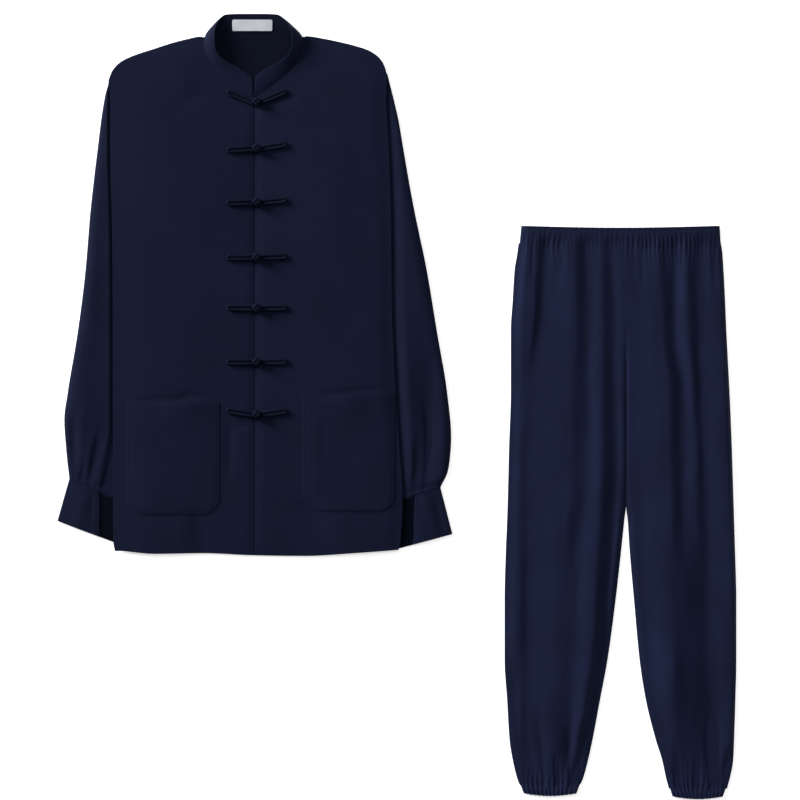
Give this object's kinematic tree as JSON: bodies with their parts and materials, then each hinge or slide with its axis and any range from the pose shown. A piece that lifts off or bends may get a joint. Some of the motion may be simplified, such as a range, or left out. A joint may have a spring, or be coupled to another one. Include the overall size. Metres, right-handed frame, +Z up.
{
  "type": "tai chi uniform",
  "caption": "Navy jacket with a stand collar, frog closures and patch pockets, and loose trousers gathered at waist and ankles, both laid flat.",
  "frame": {"origin": "middle of the bounding box's underside, on the surface that the garments lie on", "axes": "+Z up out of the surface, +Y towards the jacket's collar, +X from the jacket to the trousers"},
  "size_m": [1.0858, 1.2558, 0.0201],
  "materials": {
    "navy_cloth": "smooth woven navy cloth with a soft sheen",
    "navy_cord": "rolled cord of the same navy cloth",
    "white_ribbon": "plain off-white satin ribbon"
  },
  "bodies": {
    "root": {"jacket_back": "navy_cloth", "jacket_front_left": "navy_cloth", "jacket_front_right": "navy_cloth", "sleeve_left": "navy_cloth", "sleeve_right": "navy_cloth", "cuff_left": "navy_cloth", "cuff_right": "navy_cloth", "collar": "navy_cloth", "neck_label": "white_ribbon", "pocket_left": "navy_cloth", "pocket_right": "navy_cloth", "waistband": "navy_cloth", "leg_left_front": "navy_cloth", "leg_left_back": "navy_cloth", "leg_right_front": "navy_cloth", "leg_right_back": "navy_cloth", "ankle_hem_left": "navy_cloth", "ankle_hem_right": "navy_cloth", "frog_1_left": "navy_cord", "frog_1_right": "navy_cord", "frog_1_knot": "navy_cord", "frog_2_left": "navy_cord", "frog_2_right": "navy_cord", "frog_2_knot": "navy_cord", "frog_3_left": "navy_cord", "frog_3_right": "navy_cord", "frog_3_knot": "navy_cord", "frog_4_left": "navy_cord", "frog_4_right": "navy_cord", "frog_4_knot": "navy_cord", "frog_5_left": "navy_cord", "frog_5_right": "navy_cord", "frog_5_knot": "navy_cord", "frog_6_left": "navy_cord", "frog_6_right": "navy_cord", "frog_6_knot": "navy_cord", "frog_7_left": "navy_cord", "frog_7_right": "navy_cord", "frog_7_knot": "navy_cord"}
  },
  "joints": []
}
